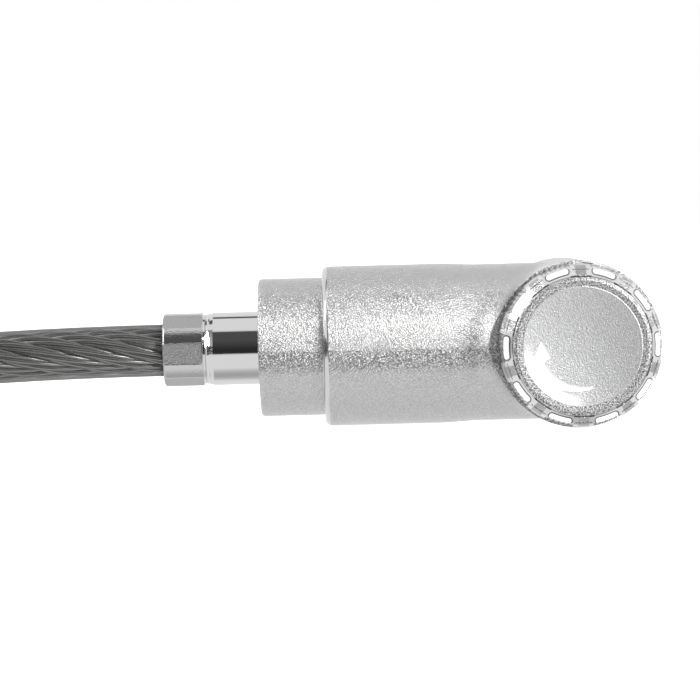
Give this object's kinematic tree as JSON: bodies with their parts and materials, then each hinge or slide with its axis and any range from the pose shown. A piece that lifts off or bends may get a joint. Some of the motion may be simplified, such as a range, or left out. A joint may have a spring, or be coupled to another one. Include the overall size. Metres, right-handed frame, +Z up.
{
  "type": "laptop cable lock",
  "caption": "Laptop cable lock: satin metal barrel with a round head, a ribbed dial, a spreading slot tip, a key cylinder and a coiled, plastic-jacketed steel cable.",
  "frame": {"origin": "centre of the pad face that presses on the laptop, on the dial's axis", "axes": "+Y along the dial's axis towards the laptop, so the dial faces -Y; the cable leaves towards -X; +Z up"},
  "size_m": [0.1589, 0.0885, 0.0223],
  "materials": {
    "satin_metal": "satin, bead-blasted",
    "dial_metal": "satin, bead-blasted",
    "steel": "bright machined",
    "cylinder_metal": "polished",
    "brass": "plain",
    "washer_plastic": "matte",
    "pad_rubber": "matte",
    "ferrule_chrome": "polished",
    "cable_jacket": "glossy smoke-tinted clear jacket over bright steel rope",
    "strap": "woven hook-and-loop"
  },
  "bodies": {
    "lock_body": {"housing": "satin_metal", "rear_collar": "satin_metal", "collar_screw": "steel", "stop_disc": "steel", "swivel_washer": "washer_plastic", "rubber_pad": "pad_rubber", "bearing_plate": "steel", "friction_washer": "washer_plastic", "jaw_guide": "steel", "guide_screws": "steel", "cylinder_shell": "cylinder_metal", "cylinder_screw": "steel"},
    "dial": {"dial_cap": "dial_metal", "dial_disc": "dial_metal", "dial_hub": "steel", "dial_screw": "steel"},
    "draw_bar": {"draw_yoke": "steel", "spreader": "steel", "spreader_pin": "steel"},
    "left_jaw": {"jaw_left": "steel"},
    "right_jaw": {"jaw_right": "steel"},
    "key_plug": {"plug": "cylinder_metal", "wafers": "brass", "cam": "steel"},
    "bolt": {"locking_bolt": "steel"},
    "cable_end": {"ferrule": "ferrule_chrome", "cable_run": "cable_jacket", "cable_coil": "cable_jacket", "anchor_loop": "cable_jacket", "loop_ferrule": "ferrule_chrome", "cable_tie": "strap"}
  },
  "joints": [
    {"name": "dial_turn", "type": "hinge", "parent": "lock_body", "child": "dial", "pos_m": [0, -0.0212, 0], "axis": [0, 1, 0], "range_deg": [0, 315]},
    {"name": "bar_draw", "type": "slide", "parent": "lock_body", "child": "draw_bar", "axis": [0, -1, 0], "range_m": [0, 0.00175]},
    {"name": "left_spread", "type": "slide", "parent": "lock_body", "child": "left_jaw", "axis": [-1, 0, 0], "range_m": [0, 0.000743]},
    {"name": "right_spread", "type": "slide", "parent": "lock_body", "child": "right_jaw", "axis": [1, 0, 0], "range_m": [0, 0.000743]},
    {"name": "key_turn", "type": "hinge", "parent": "lock_body", "child": "key_plug", "pos_m": [0, -0.0112, 0], "axis": [-1, 0, 0], "range_deg": [0, 90]},
    {"name": "bolt_slide", "type": "slide", "parent": "lock_body", "child": "bolt", "axis": [0, -1, 0], "range_m": [0, 0.00127]},
    {"name": "cable_swivel", "type": "hinge", "parent": "lock_body", "child": "cable_end", "pos_m": [-0.0253, -0.0112, 0], "axis": [1, 0, 0], "continuous": true}
  ],
  "couplings": [
    {"joint": "dial_turn", "follows": "bar_draw", "rad_per_m": 3141.6},
    {"joint": "left_spread", "follows": "bar_draw", "ratio": 0.42454},
    {"joint": "right_spread", "follows": "bar_draw", "ratio": 0.42454},
    {"joint": "key_turn", "follows": "bolt_slide", "rad_per_m": 1233.9}
  ]
}
